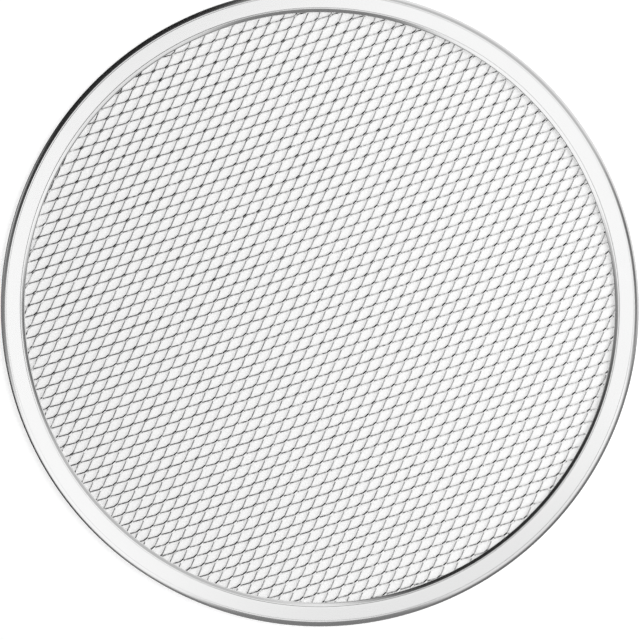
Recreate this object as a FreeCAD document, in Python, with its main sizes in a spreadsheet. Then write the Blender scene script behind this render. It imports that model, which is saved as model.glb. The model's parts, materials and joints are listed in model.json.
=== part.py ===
import FreeCAD, Part
import math
import os

import Sketcher
from FreeCAD import Vector

# Pizza screen: a disc of raised expanded metal with its cut edge held inside
# a hoop of folded aluminium strip. The screen lies flat, +Z is up, and the
# origin is on the surface that it rests on, under the centre of the disc.

# The driving sizes, in millimetres and degrees.
SIZES = [
    ("outer_diameter", 305.0, "across the outside of the hoop"),
    ("rim_width", 11.6, "outer edge of the hoop to the tip of its lips"),
    ("strip_thickness", 1.0, "gauge of the strip that the hoop is folded from"),
    ("lip_width", 2.4, "crease beside the flat band to the tip of the lip"),
    ("lip_edge", 0.4, "thickness that is left at the tip of the lip"),
    ("lip_clearance", 0.05, "between the hoop and the mesh, each side"),
    ("mesh_setback", 7.5, "outer edge of the hoop to the cut edge of the mesh"),
    ("long_way", 30.0, "bond to bond along the long way of the mesh"),
    ("short_way", 12.9, "bond to bond along the short way of the mesh"),
    ("mesh_angle", 40.8, "long way of the mesh from +X"),
    ("bond_offset_x", 2.8, "bond nearest the centre of the disc, along X"),
    ("bond_offset_y", -1.0, "bond nearest the centre of the disc, along Y"),
    ("bond_length", 3.6, "crotch to crotch, where two ribbons stay joined"),
    ("ribbon_width", 0.8, "width of one ribbon between two slits"),
    ("sheet_gauge", 0.8, "thickness of the sheet that is slit"),
    ("ribbon_tilt", 28.0, "lean of the stretched ribbons out of the sheet's plane"),
    ("cut_margin", 1.0, "least from a whole bond to the cut edge, and from a cut strand to a bond"),
]

# Heights above the middle plane of the screen, as expressions on the sheet:
# the hoop is folded round the mesh, so its heights add up from the mesh out.
MESH_TOP = "Sizes.ribbon_width * sin(Sizes.ribbon_tilt) + Sizes.sheet_gauge * cos(Sizes.ribbon_tilt) / 2"
LIP_UNDERSIDE = MESH_TOP + " + Sizes.lip_clearance"
BAND_TOP = LIP_UNDERSIDE + " + Sizes.strip_thickness"

# Radii of the hoop's section, from the axis of the disc.
EDGE = "Sizes.outer_diameter / 2"
FOLD_WALL = EDGE + " - Sizes.strip_thickness"
ROLL_CENTRE = EDGE + f" - ({BAND_TOP})"
LIP_TIP = EDGE + " - Sizes.rim_width"
CREASE = LIP_TIP + " + Sizes.lip_width"

doc = FreeCAD.newDocument("pizza_screen")


def make_sheet():
    sheet = doc.addObject("Spreadsheet::Sheet", "Sizes")
    for row, (alias, size, note) in enumerate(SIZES, start=1):
        sheet.set(f"A{row}", alias)
        sheet.set(f"B{row}", str(size))
        sheet.set(f"C{row}", note)
        sheet.setAlias(f"B{row}", alias)
    doc.recompute()
    return sheet


sheet = make_sheet()


def size(alias):
    return float(sheet.get(alias))


def worth(expression):
    return float(sheet.evalExpression(expression))


def origin_plane(body, role):
    return next(item for item in body.Origin.OriginFeatures if item.Role == role)


# The hoop's section, with the radius along sketch X and the height along
# sketch Y. The outer edge is rolled half round, a flat band runs in from it,
# and past a crease the lip falls away to its tip and lies along the mesh.
START, END, CENTRE = 1, 2, 3
ORIGIN_POINT = (-1, 1)
MIDDLE_PLANE = -1


def section_corners():
    """Corners of the section's upper half, from the rolled edge inwards."""
    band = worth(BAND_TOP)
    gap = worth(LIP_UNDERSIDE)
    return {
        "roll": Vector(worth(ROLL_CENTRE), band),
        "crease": Vector(worth(CREASE), band),
        "nose": Vector(worth(LIP_TIP), gap + size("lip_edge")),
        "tip": Vector(worth(LIP_TIP), gap),
        "wall": Vector(worth(FOLD_WALL), gap),
    }


def draw_rim_section(sketch):
    """Draw the section and return its corners as sketch points, by name."""
    upper = section_corners()
    lower = {name: Vector(place.x, -place.y) for name, place in upper.items()}
    names = list(upper)
    points = {}
    for half, places in (("upper", upper), ("lower", lower)):
        for name, after in zip(names, names[1:]):
            line = sketch.addGeometry(Part.LineSegment(places[name], places[after]), False)
            points[half, name, "leaves"] = (line, START)
            points[half, after, "arrives"] = (line, END)

    edge = Vector(worth(EDGE), 0)
    roll = sketch.addGeometry(Part.Arc(lower["roll"], edge, upper["roll"]), False)
    wall = sketch.addGeometry(Part.LineSegment(upper["wall"], lower["wall"]), False)
    points["lower", "roll", "arrives"] = (roll, START)
    points["upper", "roll", "arrives"] = (roll, END)
    points["upper", "wall", "leaves"] = (wall, START)
    points["lower", "wall", "leaves"] = (wall, END)
    return names, points


def constrain_rim_section(sketch, names, points):
    def add(kind, *values):
        return sketch.addConstraint(Sketcher.Constraint(kind, *values))

    def measure(kind, first, last, expression):
        index = add(kind, *first, *last, worth(expression))
        sketch.setExpression(f"Constraints[{index}]", expression)

    corner = {name: points["upper", name, "leaves"] for name in names}
    for name in names:
        for half in ("upper", "lower"):
            add("Coincident", *points[half, name, "arrives"], *points[half, name, "leaves"])
        add("Symmetric", *corner[name], *points["lower", name, "leaves"], MIDDLE_PLANE)

    roll = points["upper", "roll", "arrives"][0]
    add("Vertical", roll, CENTRE, *corner["roll"])
    add("Horizontal", corner["roll"][0])
    add("Vertical", corner["nose"][0])
    add("Horizontal", corner["tip"][0])
    measure("DistanceX", ORIGIN_POINT, corner["roll"], ROLL_CENTRE)
    measure("DistanceX", ORIGIN_POINT, corner["wall"], FOLD_WALL)
    measure("DistanceX", ORIGIN_POINT, corner["tip"], LIP_TIP)
    measure("DistanceX", corner["tip"], corner["crease"], "Sizes.lip_width")
    measure("DistanceY", ORIGIN_POINT, corner["tip"], LIP_UNDERSIDE)
    measure("DistanceY", corner["tip"], corner["nose"], "Sizes.lip_edge")
    measure("DistanceY", corner["tip"], corner["crease"], "Sizes.strip_thickness")


def build_rim():
    body = doc.addObject("PartDesign::Body", "rim")
    body.Label = "rim"
    sketch = body.newObject("Sketcher::SketchObject", "RimSection")
    sketch.AttachmentSupport = [(origin_plane(body, "XZ_Plane"), "")]
    sketch.MapMode = "FlatFace"
    doc.recompute()
    constrain_rim_section(sketch, *draw_rim_section(sketch))
    doc.recompute()

    hoop = body.newObject("PartDesign::Revolution", "Hoop")
    hoop.Profile = sketch
    hoop.ReferenceAxis = (sketch, ["V_Axis"])
    hoop.Angle = 360.0
    body.Tip = hoop
    body.setExpression("Placement.Base.z", BAND_TOP)
    doc.recompute()
    return body


# The mesh is one sheet, slit in rows and stretched, so that it is rows of
# ribbons. Each ribbon zigzags between the bonds with the ribbon below it and
# the bonds with the ribbon above. All ribbons lean the same way, so a strand
# stands part on edge and the mesh is thicker than the sheet it is made from.
# A bond is a diamond: a crotch at each end, where two openings point at each
# other, and a shoulder on each side, where a strand bends away.


def facet(*corners):
    return Part.Face(Part.makePolygon([*corners, corners[0]]))


def cut_travel(start, travel, disc_radius):
    """A travel cut off at the edge of the disc, or short of the bond it went to."""
    flat_start = Vector(start.x, start.y, 0)
    flat_travel = Vector(travel.x, travel.y, 0)
    a = flat_travel.dot(flat_travel)
    b = flat_start.dot(flat_travel)
    c = flat_start.dot(flat_start) - disc_radius ** 2
    share_inside = (math.sqrt(b * b - a * c) - b) / a
    share_before_bond = 1 - size("cut_margin") / travel.Length
    return travel * min(share_inside, share_before_bond)


def strand_facets(crotch, shoulder, through, travel):
    """A strand's four long sides."""
    edges = [crotch + through, shoulder + through, shoulder - through, crotch - through]
    return [
        facet(near, far, far + travel, near + travel)
        for near, far in zip(edges, edges[1:] + edges[:1])
    ]


def bond_centres(disc_radius, offset):
    """Centres of the bonds inside the disc, by row and by half steps along it."""
    long_way = size("long_way")
    short_way = size("short_way")
    reach = disc_radius - size("bond_length") / 2 - size("cut_margin")
    rows = math.ceil(2 * disc_radius / short_way) + 1
    steps = math.ceil(2 * disc_radius / long_way) + 1
    centres = {}
    for row in range(-rows, rows + 1):
        for step in range(-steps, steps + 1):
            centre = Vector(step * long_way / 2, row * short_way / 2, 0) + offset
            if (row + step) % 2 == 0 and centre.Length < reach:
                centres[row, step] = centre
    return centres


def mesh_solid():
    tilt = math.radians(size("ribbon_tilt"))
    across = Vector(0, math.cos(tilt), math.sin(tilt)) * size("ribbon_width")
    through = Vector(0, -math.sin(tilt), math.cos(tilt)) * size("sheet_gauge") / 2
    half_bond = Vector(size("bond_length") / 2, 0, 0)
    half_long = Vector(size("long_way") / 2, 0, 0)
    half_short = Vector(0, size("short_way") / 2, 0)
    disc_radius = size("outer_diameter") / 2 - size("mesh_setback")
    to_mesh_frame = FreeCAD.Rotation(Vector(0, 0, 1), -size("mesh_angle"))
    offset = to_mesh_frame.multVec(Vector(size("bond_offset_x"), size("bond_offset_y"), 0))
    centres = bond_centres(disc_radius, offset)

    facets = []
    for (row, step), centre in centres.items():
        diamond = [centre - half_bond, centre - across, centre + half_bond, centre + across]
        for face in (through, -through):
            facets.append(facet(*[corner + face for corner in diamond]))

        # Four strands leave a bond, two from each crotch. Each runs on to the
        # next bond of its ribbon, or to the cut edge. One between two bonds
        # is drawn from its lower bond.
        for side in (-1, 1):
            for climb in (-1, 1):
                crotch = centre + half_bond * side
                shoulder = centre + across * climb
                travel = (half_long - half_bond) * side + (half_short - across) * climb
                if (row + climb, step + side) not in centres:
                    travel = cut_travel((crotch + shoulder) / 2, travel, disc_radius)
                    near = crotch + travel
                    far = shoulder + travel
                    facets.append(facet(near + through, far + through, far - through, near - through))
                elif climb < 0:
                    continue
                facets += strand_facets(crotch, shoulder, through, travel)

    shell = Part.Shell(facets)
    shell.sewShape()
    solid = Part.Solid(shell)
    if solid.Volume < 0:
        solid.reverse()
    return solid


def build_mesh():
    mesh = doc.addObject("Part::Feature", "mesh")
    mesh.Label = "mesh"
    mesh.Shape = mesh_solid()
    turn = FreeCAD.Rotation(Vector(0, 0, 1), size("mesh_angle"))
    mesh.Placement = FreeCAD.Placement(Vector(0, 0, 0), turn)
    mesh.setExpression("Placement.Base.z", BAND_TOP)
    doc.recompute()
    return mesh


rim = build_rim()
mesh = build_mesh()

for item in doc.Objects:
    if "Invalid" in item.State or "Error" in item.State:
        raise RuntimeError(f"{item.Name} did not recompute: {item.State}")

os.makedirs("parts", exist_ok=True)
for piece in (rim, mesh):
    shape = piece.Shape
    if shape.isNull() or not shape.isValid():
        raise RuntimeError(f"{piece.Label} is not a sound shape")
    shape.exportStep(os.path.join("parts", piece.Label + ".step"))
    box = shape.BoundBox
    print(
        f"{piece.Label}: {len(shape.Solids)} solid, {len(shape.Faces)} faces,",
        f"z {box.ZMin:.3f} to {box.ZMax:.3f} mm, volume {shape.Volume:.0f} mm3",
    )
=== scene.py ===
# %% [markdown]
# # A pizza screen
#
# A pizza screen is a disc of raised expanded aluminium held in a folded rim. Dough bakes on it
# directly, because the openings let the oven's heat reach the crust from below.
#
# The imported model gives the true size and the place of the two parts. Here each of them is
# modelled again with the detail that a close picture needs: the rim's rounded lips and rolled
# edge, and the mesh at its real pitch, about 1,900 openings.

import json
import math

import bpy
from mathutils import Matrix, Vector

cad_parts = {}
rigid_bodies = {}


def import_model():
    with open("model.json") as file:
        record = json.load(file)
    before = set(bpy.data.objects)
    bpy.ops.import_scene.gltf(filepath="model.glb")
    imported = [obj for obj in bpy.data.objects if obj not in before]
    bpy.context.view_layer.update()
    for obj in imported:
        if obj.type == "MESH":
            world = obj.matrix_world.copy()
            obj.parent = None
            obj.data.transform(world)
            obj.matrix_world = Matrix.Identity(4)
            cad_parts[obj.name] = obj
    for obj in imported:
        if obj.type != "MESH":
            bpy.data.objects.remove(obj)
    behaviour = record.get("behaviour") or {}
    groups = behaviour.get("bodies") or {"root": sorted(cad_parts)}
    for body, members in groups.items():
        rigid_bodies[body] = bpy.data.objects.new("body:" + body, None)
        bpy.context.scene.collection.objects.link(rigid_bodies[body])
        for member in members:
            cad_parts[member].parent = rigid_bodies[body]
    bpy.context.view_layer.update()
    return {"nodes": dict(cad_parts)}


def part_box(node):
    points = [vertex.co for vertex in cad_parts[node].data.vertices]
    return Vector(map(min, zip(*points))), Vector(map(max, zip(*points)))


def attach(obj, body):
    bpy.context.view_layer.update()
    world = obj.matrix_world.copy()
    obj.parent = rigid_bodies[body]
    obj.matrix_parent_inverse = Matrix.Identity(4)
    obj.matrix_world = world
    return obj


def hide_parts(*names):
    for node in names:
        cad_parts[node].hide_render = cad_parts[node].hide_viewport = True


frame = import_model()
print("nodes:", sorted(frame["nodes"]))

# %% [markdown]
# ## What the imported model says
#
# Nothing is measured twice. The rim's box gives the outer radius, the height of the middle plane
# and the half thickness, and the mesh's box gives the disc's radius and how high it may rise.
# Both pieces are then drawn inside those boxes, so that the dressed part fits wherever the plain
# one does.

# %% Read the real sizes
MM = 0.001

rim_low, rim_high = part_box("rim")
mesh_low, mesh_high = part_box("mesh")
OUTER_RADIUS = (rim_high.x - rim_low.x) / 2
HALF_RIM = (rim_high.z - rim_low.z) / 2
MIDDLE = (rim_high.z + rim_low.z) / 2
DISC_RADIUS = (mesh_high.x - mesh_low.x) / 2
HALF_MESH = (mesh_high.z - mesh_low.z) / 2
print(f"rim: radius {OUTER_RADIUS / MM:.2f} mm, {2 * HALF_RIM / MM:.2f} mm thick")
print(f"mesh: radius {DISC_RADIUS / MM:.2f} mm, {2 * HALF_MESH / MM:.2f} mm high")

# %% [markdown]
# ## Working by hand
#
# The steps below are the ones a modeller takes with the mouse: add a primitive, go into edit
# mode, pick some faces, extrude and move them, then come out and apply a modifier. These few
# helpers only save repeating the clicks. Nothing may be selected when a step starts.


# %% Helpers for modelling
def add(name, operator, **settings):
    """Adds a primitive with nothing else selected and names it."""
    bpy.ops.object.select_all(action="DESELECT")
    operator(**settings)
    piece = bpy.context.active_object
    piece.name = name
    piece.data.name = name
    return piece


def pick(piece, test, kind="FACE"):
    """Selects only the faces or vertices that pass the test, in edit mode, and counts them."""
    bpy.ops.object.mode_set(mode="EDIT")
    bpy.ops.mesh.select_mode(type=kind)
    bpy.ops.mesh.select_all(action="DESELECT")
    bpy.ops.object.mode_set(mode="OBJECT")
    parts = piece.data.polygons if kind == "FACE" else piece.data.vertices
    chosen = [part for part in parts if test(part)]
    for part in chosen:
        part.select = True
    bpy.ops.object.mode_set(mode="EDIT")
    return len(chosen)


def rest(piece):
    """Puts the object's place into its mesh, so that it sits at the origin, unturned."""
    bpy.ops.object.mode_set(mode="OBJECT")
    bpy.ops.object.select_all(action="DESELECT")
    piece.select_set(True)
    bpy.context.view_layer.objects.active = piece
    bpy.ops.object.transform_apply(location=True, rotation=True, scale=True)


def modify(piece, kind, **settings):
    """Adds a modifier and applies it."""
    rest(piece)
    modifier = piece.modifiers.new(kind.title(), kind)
    for key, value in settings.items():
        setattr(modifier, key, value)
    bpy.ops.object.modifier_apply(modifier=modifier.name)


# %% [markdown]
# ## The rim
#
# The real rim is one long strip of aluminium, folded over the cut edge of the mesh and then
# rolled round so that no sharp edge is left. From the middle outwards the top face shows a
# rounded lip that presses on the mesh, a deep narrow crease where the roller stopped, a flat
# band, a wider and shallower crease, and the rolled edge. Underneath it is the same.
#
# The rim could be a flat ring with its edges bevelled, but a bevel has one radius, and here each
# part of the section curves in its own way. Anything made by turning is easier as an outline
# that is spun once round. The outline is half of the section, written as pairs of radius and
# height above the middle plane, in millimetres.

# %% The lip, the band and their creases
LIP_UNDERSIDE = 0.46
BAND_HEIGHT = 1.762

LIP = [
    (141.10, LIP_UNDERSIDE),
    (140.96, 0.52),
    (140.90, 0.62),
    (140.90, 1.00),
    (140.94, 1.08),
    (141.02, 1.17),
    (141.14, 1.25),
    (141.32, 1.34),
    (141.56, 1.44),
    (141.86, 1.545),
    (142.16, 1.64),
    (142.38, 1.71),
    (142.54, 1.75),
    (142.68, HALF_RIM / MM),
    (142.78, 1.764),
]
LIP_CREASE = [
    (142.84, 1.750),
    (142.93, 1.700),
    (142.98, 1.690),
    (143.03, 1.700),
    (143.12, 1.746),
    (143.20, 1.757),
]
BAND = [(mark, BAND_HEIGHT) for mark in (143.4, 145.0, 146.2, 147.4, 148.4, 149.2)]
ROLL_CREASE = [
    (149.36, 1.758),
    (149.48, 1.742),
    (149.57, 1.722),
    (149.64, 1.718),
    (149.70, 1.728),
    (149.76, 1.752),
]
print("the band is", round(BAND[-1][0] - BAND[0][0], 2), "mm wide")

# %% [markdown]
# ### The rolled edge
#
# The picture shows how the edge is rounded: where it mirrors the bright ceiling and where it
# mirrors the dark places near the table tells how far the surface has turned there. It starts
# turned by 10 degrees and reaches 60 degrees close to the outside, where the strip folds back.
# So the steps are even in the turn, and the points lie close together where the edge is steep.

# %% The rolled edge
ROLL_START = (149.82, 1.768)
ROLL_STEPS = 12
ROLL_TURN = (math.radians(10), math.radians(60))
ROLL_FALL = 4 / 3
FULL_RADIUS = OUTER_RADIUS / MM
ROLL_END = FULL_RADIUS - 0.06
FOLD = [(FULL_RADIUS - 0.015, 0.60), (FULL_RADIUS, 0.45), (FULL_RADIUS, 0.0)]

first, last = ROLL_TURN
reach = (ROLL_END - ROLL_START[0]) / (math.sin(last) - math.sin(first))
ROLL = []
for step in range(ROLL_STEPS + 1):
    turn = first + (last - first) * step / ROLL_STEPS
    out = ROLL_START[0] + reach * (math.sin(turn) - math.sin(first))
    up = ROLL_START[1] * (math.cos(turn) / math.cos(first)) ** ROLL_FALL
    ROLL.append((out, up))
ROLL += FOLD
print(f"the roll falls from {ROLL[0][1]:.2f} to {ROLL[ROLL_STEPS][1]:.2f} mm")

# %% [markdown]
# ### The whole section
#
# The lower half is the upper one mirrored. The last two points are the wall of the channel
# inside the fold, where the cut edge of the mesh sits.

# %% Join the outline up
CHANNEL_WALL = 151.5

top = LIP + LIP_CREASE + BAND + ROLL_CREASE + ROLL
under = [(out, -up) for out, up in reversed(top[:-1])]
channel = [(CHANNEL_WALL, -LIP_UNDERSIDE), (CHANNEL_WALL, LIP_UNDERSIDE)]
section = [Vector((out * MM, 0, MIDDLE + up * MM)) for out, up in top + under + channel]
print(len(section), "points in the section")

# %% Draw the section and spin it
RIM_STEPS = 288
FULL_TURN = math.radians(360)
SMOOTH_BELOW = math.radians(35)
SAME_PLACE = 0.002 * MM

rim = add("RimRolled", bpy.ops.mesh.primitive_plane_add, size=1 * MM)
bpy.ops.object.mode_set(mode="EDIT")
bpy.ops.mesh.select_all(action="SELECT")
bpy.ops.mesh.merge(type="CENTER")
bpy.ops.transform.translate(value=section[0])
for before, after in zip(section, section[1:] + section[:1]):
    bpy.ops.mesh.extrude_vertices_move(TRANSFORM_OT_translate={"value": after - before})
bpy.ops.mesh.select_all(action="SELECT")
bpy.ops.mesh.remove_doubles(threshold=SAME_PLACE)
bpy.ops.mesh.spin(steps=RIM_STEPS, angle=FULL_TURN, center=(0, 0, 0), axis=(0, 0, 1))
bpy.ops.mesh.select_all(action="SELECT")
bpy.ops.mesh.normals_make_consistent(inside=False)
rest(rim)
bpy.ops.object.shade_smooth_by_angle(angle=SMOOTH_BELOW)
print(len(rim.data.polygons), "faces in the rim")

# %% [markdown]
# ## One bond of the mesh
#
# Expanded metal is slit in rows and then pulled open. Where the slits stop, two strands stay
# joined: that is a bond. Pulling makes every ribbon of metal lean over, and a light rolling
# afterwards presses the upper ribbon of each bond nearly flat. From above, a bond is a dark dash
# with a paler one beside it.
#
# A wave modifier on a grid would give wavy strips but no bonds. The mesh is really one small
# piece, repeated: a bond with four half strands. It starts as a cube that is stretched to the
# ribbon's sizes, leaned over and cut into an upper and a lower ribbon. The four end faces are
# then pulled out to the halfway points of the strands, where the neighbours will meet them.

# %% Sizes of the expanded mesh
LONG_WAY = 12.48 * MM
SHORT_WAY = 5.39 * MM
SKEW = math.radians(0.35)
RIBBON = 0.69 * MM
GAUGE = 0.28 * MM
BOND = 2.0 * MM
LEAN = math.radians(62)

along = Vector((1, 0, 0))
across = Vector((math.sin(SKEW), -math.cos(SKEW), 0))
climb = Vector((0, -math.sin(LEAN), math.cos(LEAN)))
face_way = Vector((0, math.cos(LEAN), math.sin(LEAN)))
rise = RIBBON * climb.z + GAUGE / 2 * face_way.z
print(f"the ribbons rise {rise / MM:.3f} mm of the {HALF_MESH / MM:.3f} mm there is")

# %% Make the bond
CLOSE = 0.01 * MM

bond = add(
    "MeshExpanded",
    bpy.ops.mesh.primitive_cube_add,
    size=1,
    rotation=(LEAN, 0, 0),
    scale=(BOND, GAUGE, 2 * RIBBON),
)
rest(bond)
bpy.ops.object.mode_set(mode="EDIT")
bpy.ops.mesh.select_all(action="SELECT")
bpy.ops.mesh.bisect(plane_co=(0, 0, 0), plane_no=climb)
bpy.ops.object.mode_set(mode="OBJECT")
print(len(bond.data.polygons), "faces in the bond")

# %% [markdown]
# ### Pressing the upper ribbon flat
#
# The top edge of the bond is picked and moved down and outwards. Rolling also drags it back a
# little along the bond, which makes the two ends of the ribbon unlike each other.

# %% Press the upper ribbon
FLAT = math.radians(84)
DRAG = -0.6

pressed = Vector((DRAG, -math.sin(FLAT), math.cos(FLAT))) * RIBBON
flatten = pressed - climb * RIBBON
edge = pick(bond, lambda face: (face.center - climb * RIBBON).length < CLOSE)
bpy.ops.transform.translate(value=flatten)
bpy.ops.object.mode_set(mode="OBJECT")
print(edge, "face pressed down by", round(-flatten.z / MM, 3), "mm")

# %% [markdown]
# ### The half strands
#
# Each strand leaves the bond with a short bend. The lower strands keep the lean of the lower
# ribbon. The upper ones start from the pressed ribbon, so their outer edge is lifted back to the
# same lean within the bend. The end caps are deleted: two half strands are welded there later.

# %% Pull the four half strands out of the bond's ends
BEND = 0.12
SPREAD = Vector((0, -0.04 * MM, 0))
CAP_REACH = 0.03 * MM
TIP_REACH = 0.75 * GAUGE

for side in (-1, 1):
    for half in (-1, 1):
        upper = half == 1
        press = flatten if upper else Vector()
        start = along * side * BOND / 2 + (climb * half * RIBBON + press) / 2
        middle = (along * side * LONG_WAY + across * half * SHORT_WAY) / 4 + SPREAD / 2
        travel = middle - start
        bend = travel * BEND + (SPREAD if upper else Vector())
        pick(bond, lambda face: (face.center - start).length < CAP_REACH)
        bpy.ops.mesh.extrude_region_move(TRANSFORM_OT_translate={"value": bend})
        if upper:
            tip = start + bend + pressed / 2
            pick(bond, lambda vertex: (vertex.co - tip).length < TIP_REACH, kind="VERT")
            bpy.ops.transform.translate(value=-flatten)
            start = start - flatten / 2
            travel = travel + flatten / 2
            pick(bond, lambda face: (face.center - start - bend).length < CAP_REACH)
        bpy.ops.mesh.extrude_region_move(TRANSFORM_OT_translate={"value": travel - bend})
        bpy.ops.mesh.delete(type="ONLY_FACE")
rest(bond)
print(len(bond.data.polygons), "faces in the bond with its half strands")

# %% [markdown]
# ## Two kinds of face
#
# The wide faces of a ribbon are the rolled faces of the sheet and stay bright. Its narrow faces
# were sheared by the slitting knife and are duller. A mask by direction would do in the
# material, but the strands turn, so the faces get a finish of their own here, while there are
# only a few dozen, and every copy inherits it.

# %% Keep the two kinds of face apart
SHEARED_SLOT = 1
SHEARED_LIMIT = 0.6

for name in ("RolledFace", "ShearedEdge"):
    bond.data.materials.append(bpy.data.materials.new(name))
sheared = pick(bond, lambda face: abs(face.normal.dot(face_way)) < SHEARED_LIMIT)
bond.active_material_index = SHEARED_SLOT
bpy.ops.object.material_slot_assign()
rest(bond)
print(sheared, "sheared faces")

# %% [markdown]
# ## The whole mesh
#
# Two arrays repeat the bond along the two directions of the strands and weld each half strand to
# its neighbour. The patch starts far out at one corner, so that a bond falls where it does in
# the real mesh. The outermost half strands have no neighbour, so their open ends are filled.

# %% Repeat the bond
REACH = 30

step_one = (along * LONG_WAY + across * SHORT_WAY) / 2
step_two = (along * LONG_WAY - across * SHORT_WAY) / 2
bpy.ops.object.mode_set(mode="EDIT")
bpy.ops.mesh.select_all(action="SELECT")
bpy.ops.transform.translate(value=-(step_one + step_two) * REACH)
for step in (step_one, step_two):
    modify(
        bond,
        "ARRAY",
        count=2 * REACH + 1,
        use_relative_offset=False,
        use_constant_offset=True,
        constant_offset_displace=step,
        use_merge_vertices=True,
        merge_threshold=CLOSE,
    )
bpy.ops.object.mode_set(mode="EDIT")
bpy.ops.mesh.select_mode(type="VERT")
bpy.ops.mesh.select_all(action="DESELECT")
bpy.ops.mesh.select_non_manifold()
bpy.ops.mesh.fill_holes(sides=4)
bpy.ops.mesh.select_all(action="SELECT")
bpy.ops.mesh.normals_make_consistent(inside=False)
rest(bond)
print(len(bond.data.polygons), "faces in the patch")

# %% [markdown]
# ### A little unevenness
#
# Real mesh is never quite regular: the openings differ by a tenth of a millimetre or two. Moving
# the vertices sideways by a soft noise does that without opening a seam, because neighbours move
# together. It only pushes within the plane, so the mesh stays as flat as it was.

# %% Make it a little uneven
UNEVEN = 0.26 * MM
UNEVEN_GRAIN = (("X", 9 * MM), ("Y", 7 * MM))

for axis, grain in UNEVEN_GRAIN:
    clouds = bpy.data.textures.new("Uneven" + axis, "CLOUDS")
    clouds.noise_scale = grain
    modify(bond, "DISPLACE", texture=clouds, direction=axis, strength=UNEVEN, mid_level=0.5)
print(f"places moved by up to {UNEVEN / 2 / MM:.2f} mm each way")

# %% [markdown]
# ### Cutting it round
#
# The disc is punched out of a bigger sheet, so the patch is turned to its slant in the rim and
# then cut by a cylinder of the disc's radius. The cut leaves a few bits of strand that hang on
# nothing. Everything that is linked to the innermost face is kept, and the rest goes.

# %% Turn the patch and cut it
MESH_TURN = math.radians(40.8)
BOND_PLACE = Vector((3.27 * MM, -0.90 * MM, 0))
CUTTER_SIDES = 180
CUTTER_DEPTH = 12 * MM

bond.rotation_euler.z = MESH_TURN
bond.location = BOND_PLACE + Vector((0, 0, MIDDLE))
rest(bond)
cutter = add(
    "Cutter",
    bpy.ops.mesh.primitive_cylinder_add,
    vertices=CUTTER_SIDES,
    radius=DISC_RADIUS,
    depth=CUTTER_DEPTH,
    location=(0, 0, MIDDLE),
)
modify(bond, "BOOLEAN", object=cutter, operation="INTERSECT", solver="MANIFOLD")
bpy.data.objects.remove(cutter)
innermost = min(bond.data.polygons, key=lambda face: face.center.xy.length).index
pick(bond, lambda face: face.index == innermost)
bpy.ops.mesh.select_linked(delimit=set())
bpy.ops.mesh.select_all(action="INVERT")
bpy.ops.mesh.delete(type="FACE")
rest(bond)
heights = [vertex.co.z - MIDDLE for vertex in bond.data.vertices]
print(len(bond.data.polygons), "faces in the cut mesh")
print(f"it rises from {min(heights) / MM:.3f} to {max(heights) / MM:.3f} mm about the middle")

# %% [markdown]
# ## Into the shared frame
#
# Each new piece takes the place of one imported node, which is hidden: it moves with the same
# body.

# %% Put both pieces in the frame
for piece, node, slot_name in ((rim, "rim", "hoop"), (bond, "mesh", "mesh")):
    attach(piece, "root")
    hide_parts(node)


# %% [markdown]
# ## Sums in a node tree
#
# A finish is worked out by nodes, and most of them are plain arithmetic. This small class wraps a
# socket, so that a sum is written as a sum and the Math nodes are made for it.


# %% The class for sockets
class Wire:
    """A socket of a node tree. Arithmetic on it adds the Math node that does it."""

    def __init__(self, socket):
        self.socket = socket
        self.tree = socket.id_data

    @staticmethod
    def node(tree, kind, settings=None, values=None, out=0):
        """Adds a node, sets it up, fills or links its sockets, and wraps one output."""
        made = tree.nodes.new(kind)
        for key, value in (settings or {}).items():
            setattr(made, key, value)
        for key, value in (values or {}).items():
            if isinstance(value, Wire):
                tree.links.new(value.socket, made.inputs[key])
            else:
                made.inputs[key].default_value = value
        return Wire(made.outputs[out])

    def math(self, operation, *others):
        values = dict(enumerate((self, *others)))
        return Wire.node(self.tree, "ShaderNodeMath", {"operation": operation}, values)

    def __add__(self, other):
        return self.math("ADD", other)

    __radd__ = __add__

    def __mul__(self, other):
        return self.math("MULTIPLY", other)

    __rmul__ = __mul__

    def __sub__(self, other):
        return self.math("SUBTRACT", other)

    def __rsub__(self, other):
        return self.math("MULTIPLY", -1.0) + other

    def towards(self, value, factor):
        """This value where the factor is 0 and the other one where it is 1."""
        return self + (value - self) * factor

    def between(self, low, high):
        """0 below low, 1 above high and a smooth climb between them."""
        settings = {"interpolation_type": "SMOOTHSTEP"}
        values = {"Value": self, "From Min": low, "From Max": high}
        return Wire.node(self.tree, "ShaderNodeMapRange", settings, values)


# %% [markdown]
# ## Bare aluminium
#
# Aluminium mirrors nearly all the light and has almost no colour of its own, so its look comes
# from its surface. The rim was spun: the roller left very fine rings, which smear a reflection
# outwards and inwards but hardly along the ring. Rings could be drawn with a bump, but they are
# far finer than a pixel, and the shader's anisotropy gives what the eye sees of them. The mesh's
# rolled faces are smoother than its sheared edges. A slow noise lets the roughness drift, as
# handling does. Sheet that has been slit and pulled is never quite flat, so a soft bump tilts the
# rolled faces by a degree or two, and each strand mirrors a slightly different place: some show
# darker and some paler, as in the photograph.


# %% Make the finishes
WAVE_LENGTH = 3.0 * MM
WAVE_HEIGHT = 0.19 * MM
QUARTER_TURN = 0.25


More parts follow.
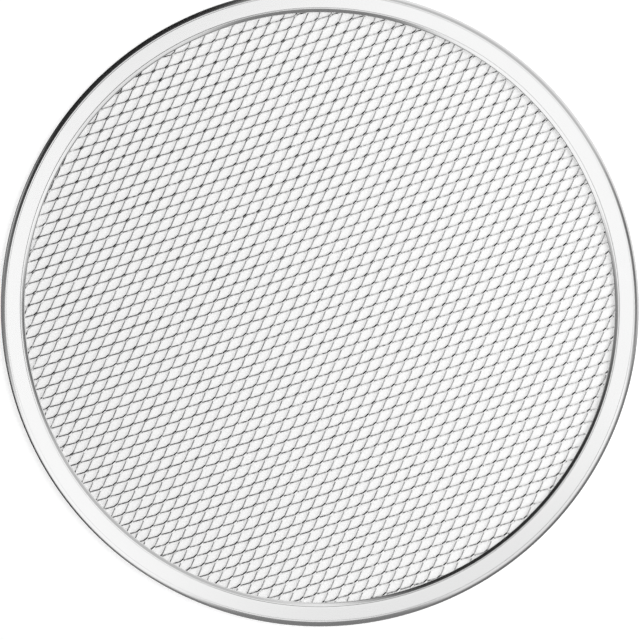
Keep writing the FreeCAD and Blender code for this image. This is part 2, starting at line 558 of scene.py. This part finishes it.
def finish(name, base, roughness, drift, grain, anisotropy=0.0, turned=0.0, wave=0.0):
    """A bare metal whose roughness drifts a little over the surface, and which may be wavy."""
    material = bpy.data.materials.get(name) or bpy.data.materials.new(name)
    material.use_nodes = True
    tree = material.node_tree
    shader = tree.nodes["Principled BSDF"]
    shader.inputs["Metallic"].default_value = 1.0
    shader.inputs["Base Color"].default_value = (base, base, base, 1)
    shader.inputs["Anisotropic"].default_value = anisotropy
    shader.inputs["Anisotropic Rotation"].default_value = turned
    place = Wire.node(tree, "ShaderNodeTexCoord", out="Object")
    values = {"Vector": place, "Scale": grain, "Detail": 2.0}
    noise = Wire.node(tree, "ShaderNodeTexNoise", values=values)
    rough = noise * drift + (roughness - drift / 2)
    tree.links.new(rough.socket, shader.inputs["Roughness"])
    if wave:
        values = {"Vector": place, "Scale": 1 / WAVE_LENGTH, "Detail": 1.0}
        waves = Wire.node(tree, "ShaderNodeTexNoise", values=values)
        values = {"Height": waves, "Strength": 1.0, "Distance": wave}
        bump = Wire.node(tree, "ShaderNodeBump", values=values)
        tree.links.new(bump.socket, shader.inputs["Normal"])
    if anisotropy:
        settings = {"direction_type": "RADIAL", "axis": "Z"}
        ring = Wire.node(tree, "ShaderNodeTangent", settings)
        tree.links.new(ring.socket, shader.inputs["Tangent"])
    return material


spun = {"base": 0.955, "roughness": 0.15, "drift": 0.05, "grain": 60}
rolled = {"base": 0.95, "roughness": 0.15, "drift": 0.06, "grain": 300}
cut = {"base": 0.86, "roughness": 0.26, "drift": 0.1, "grain": 300}
rim.data.materials.append(finish("SpunAluminium", **spun, anisotropy=0.6, turned=QUARTER_TURN))
finish("RolledFace", **rolled, wave=WAVE_HEIGHT)
finish("ShearedEdge", **cut)
print([material.name for material in bpy.data.materials])

# %% [markdown]
# ## What the metal mirrors
#
# Bright metal shows its surroundings, so the studio matters as much as the finish. The rim and
# the ribbons tell what stood round the table: a white ceiling, darker low down, a black corner
# at the upper left, a grey side towards the photographer, and a few lamps and gaps. Black cards
# and lamps could be hung for all of them, but a world that is toned by direction does the same
# with smooth edges. Angles are in degrees, from the right over the top of the picture. Heights
# are the sine of the angle above the table.

# %% Start the world
scene = bpy.context.scene
world = bpy.data.worlds.new("Studio")
scene.world = world
world.use_nodes = True
sky = world.node_tree
look = Wire.node(sky, "ShaderNodeTexCoord", out="Generated")
height = Wire.node(sky, "ShaderNodeSeparateXYZ", values={"Vector": look}, out="Z")


def lies_near(way, direction, inner, outer):
    """1 within the inner angle of a direction, 0 beyond the outer one."""
    settings = {"operation": "DOT_PRODUCT"}
    values = {0: way, 1: direction}
    cosine = Wire.node(sky, "ShaderNodeVectorMath", settings, values, out="Value")
    return cosine.between(math.cos(math.radians(outer)), math.cos(math.radians(inner)))


def area(azimuth, elevation, inner, outer):
    """A round area of the surroundings."""
    a, e = math.radians(azimuth), math.radians(elevation)
    direction = (math.cos(a) * math.cos(e), math.sin(a) * math.cos(e), math.sin(e))
    return lies_near(look, direction, inner, outer)


def sector(azimuth, inner, outer):
    """An upright strip of the surroundings, the same at any height."""
    a = math.radians(azimuth)
    values = {0: look, 1: (1, 1, 0)}
    level = Wire.node(sky, "ShaderNodeVectorMath", {"operation": "MULTIPLY"}, values)
    level = Wire.node(sky, "ShaderNodeVectorMath", {"operation": "NORMALIZE"}, {0: level})
    return lies_near(level, (math.cos(a), math.sin(a), 0), inner, outer)


LOW_TONE = 0.18
LOW_END, CEILING_EDGE = 0.58, 0.86

tone = LOW_TONE + (1.0 - LOW_TONE) * height.between(LOW_END, CEILING_EDGE)
for word, sine in (("dark grey below", LOW_END), ("white above", CEILING_EDGE)):
    print(word, round(math.degrees(math.asin(sine))), "degrees")

# %% [markdown]
# ### Light and dark places
#
# Each place is a tone and a round area: where its middle is, how high it is, the angle up to
# which it is full and the angle at which it ends. A light place only ever brightens, so the
# brighter of the two tones counts. A dark one replaces what is there, and two faint ones at the
# sides only dim it.

# %% Add the lamps and the light walls
LIGHT_AREAS = (
    (0.80, (45, 15, 35, 60)),
    (0.95, (320, 60, 10, 20)),
    (0.85, (79, 22, 5, 26)),
    (0.52, (160, 36, 4, 20)),
)
LIGHT_WALL = (0.95, (215, 44, 12, 28))
WALL_FOOT = (0.52, 0.66)

for brightness, place in LIGHT_AREAS:
    tone = tone.math("MAXIMUM", brightness * area(*place))
brightness, place = LIGHT_WALL
tone = tone.math("MAXIMUM", brightness * area(*place) * height.between(*WALL_FOOT))
print(len(LIGHT_AREAS) + 1, "light areas")

# %% Tone down the dark places
DARK_AREAS = (
    (0.12, (12, 50, 8, 18)),
    (0.50, (54, 55, 12, 22)),
    (0.03, (208, 6, 20, 30)),
)
BLACK_CORNER = (
    (0.01, (127, 36, 12, 30)),
    (0.20, (170, 50, 9, 20)),
    (0.02, (135, 55, 14, 25)),
)

for brightness, place in DARK_AREAS:
    tone = tone.towards(brightness, area(*place))
below_the_top = 1.0 - height.between(0.90, 0.97)
near_the_top = height.between(0.95, 0.99)
tone = tone.towards(0.24, sector(270, 14, 26) * below_the_top)
tone = tone * (1.0 - 0.2 * sector(290, 25, 50))
tone = tone * (1.0 - 0.13 * sector(112, 14, 30) * near_the_top)
for brightness, place in BLACK_CORNER:
    tone = tone.towards(brightness, area(*place))
print(len(DARK_AREAS) + len(BLACK_CORNER), "dark areas and 3 darker sides")

# %% [markdown]
# The camera itself sees plain white in every direction. Only what the metal mirrors and what
# lights it has the tones.

# %% Finish the world
seen = Wire.node(sky, "ShaderNodeLightPath", out="Is Camera Ray")
tone = tone.towards(1.0, seen)
sky.links.new(tone.socket, sky.nodes["Background"].inputs["Color"])
print(len(sky.nodes), "nodes in the world")

# %% [markdown]
# ## The white table
#
# A product picture on white is lit until the table is pure white, but then the metal would burn
# out too. Here the table glows a little, only for the camera and for reflections, and so it is
# white, keeps the screen's shadow, and sends no extra light onto the metal. Through the openings
# the table looks a shade greyer than beside the screen, because less light gets in. That shade is
# painted: a disc that glows less than the table lies under the mesh.


# %% Make the table and the disc of painted shade
TABLE_SIZE = 6
TABLE_DROP = 0.02 * MM
TABLE_GLOW = 0.50
# The lower glow of the disc under the mesh is painted shade, not a paler paper.
PAINTED_SHADE_GLOW = 0.30
SHADE_DISC_SIDES = 96
PURE_WHITE = (1, 1, 1, 1)
MATT_WHITE = (0.8, 0.8, 0.8, 1)
MATT_GREY = (0.4, 0.4, 0.4, 1)


def matt_white(name, glow):
    """A matt white that glows for the camera and in reflections and still takes shadows."""
    material = bpy.data.materials.new(name)
    material.use_nodes = True
    tree = material.node_tree
    tree.nodes.remove(tree.nodes["Principled BSDF"])
    matt = Wire.node(tree, "ShaderNodeBsdfDiffuse", values={"Color": MATT_WHITE})
    values = {"Color": PURE_WHITE, "Strength": glow}
    light = Wire.node(tree, "ShaderNodeEmission", values=values)
    shown = Wire.node(tree, "ShaderNodeAddShader", values={0: matt, 1: light})
    plain = Wire.node(tree, "ShaderNodeBsdfDiffuse", values={"Color": MATT_GREY})
    camera_ray = Wire.node(tree, "ShaderNodeLightPath", out="Is Camera Ray")
    glossy_ray = Wire.node(tree, "ShaderNodeLightPath", out="Is Glossy Ray")
    factor = camera_ray.math("MAXIMUM", glossy_ray)
    mixed = Wire.node(tree, "ShaderNodeMixShader", values={0: factor, 1: plain, 2: shown})
    tree.links.new(mixed.socket, tree.nodes["Material Output"].inputs["Surface"])
    return material


table_place = (0, 0, rim_low.z - TABLE_DROP)
floor = add("Floor", bpy.ops.mesh.primitive_plane_add, size=TABLE_SIZE, location=table_place)
floor.data.materials.append(matt_white("WhiteTable", TABLE_GLOW))
# The disc under the mesh is painted shade: it glows less than the table, so the table seen
# through the openings looks shaded.
shade_disc = add(
    "Paper",
    bpy.ops.mesh.primitive_circle_add,
    vertices=SHADE_DISC_SIDES,
    radius=DISC_RADIUS,
    fill_type="NGON",
    location=(0, 0, rim_low.z),
)
shade_disc.data.materials.append(matt_white("PalePaper", PAINTED_SHADE_GLOW))
for piece in (floor, shade_disc):
    rest(piece)
print("staged:", floor.name, shade_disc.name)

# %% [markdown]
# ## A dark card
#
# Close to the table's corner at the upper left the rolled edge mirrors something black that the
# opposite side of the rim hardly shows. The world is the same from everywhere, so a thing that
# is near has to stand in the scene: a low black card on edge, which only reflections see.

# %% Stand the card on the table
CARD_WIDTH, CARD_HEIGHT = 0.45, 0.045
CARD_PLACE = (-0.184, 0.184, 0.0235)
CARD_TURN = (math.radians(90), 0, math.radians(45))
CARD_BLACK = (0.01, 0.01, 0.01, 1)

card = add(
    "DarkCard",
    bpy.ops.mesh.primitive_plane_add,
    size=1,
    location=CARD_PLACE,
    rotation=CARD_TURN,
)
card.scale = (CARD_WIDTH, CARD_HEIGHT, 1)
black = bpy.data.materials.new("BlackCard")
black.use_nodes = True
shader = black.node_tree.nodes["Principled BSDF"]
shader.inputs["Base Color"].default_value = CARD_BLACK
shader.inputs["Roughness"].default_value = 1.0
card.data.materials.append(black)
rest(card)
card.visible_camera = False
card.visible_diffuse = False
card.visible_shadow = False
print("the card is", tuple(round(size, 3) for size in card.dimensions))

# %% [markdown]
# ## The lamp
#
# One soft lamp high at the right makes the faint gradient over the mesh: the picture is a little
# brighter there. It is left out of reflections, because the world already has its mirror image.

# %% Hang the lamp
LAMP_PLACE = (0.55, 0.12, 0.80)
LAMP_WIDTH = 0.8
LAMP_POWER = 4.2

lamp = add("Lamp", bpy.ops.object.light_add, type="AREA", location=LAMP_PLACE)
lamp.data.shape = "DISK"
lamp.data.size = LAMP_WIDTH
lamp.data.energy = LAMP_POWER
lamp.visible_glossy = False
print("the lamp gives", round(lamp.data.energy, 1), "W")

# %% [markdown]
# ## The camera
#
# The photograph looks straight down from far away: the rim is a true circle, and no side wall
# shows. A long lens does the same. The frame is a little smaller than the screen, whose top edge
# is cut off, and its middle is just below the screen's. A camera that isn't turned looks straight
# down.

# %% Place the camera
LENS = 200
NEAR, FAR = 0.01, 20
HALF_FRAME = 152.83 * MM
AIM = Vector((0.09 * MM, -6.03 * MM, MIDDLE))

camera = add("View", bpy.ops.object.camera_add)
lens = camera.data
lens.lens = LENS
distance = HALF_FRAME * LENS / (lens.sensor_width / 2)
camera.location = AIM + Vector((0, 0, distance))
lens.clip_start = NEAR
lens.clip_end = FAR
scene.camera = camera
scene.view_settings.view_transform = "Standard"
print(f"the camera is {distance:.3f} m above the screen")
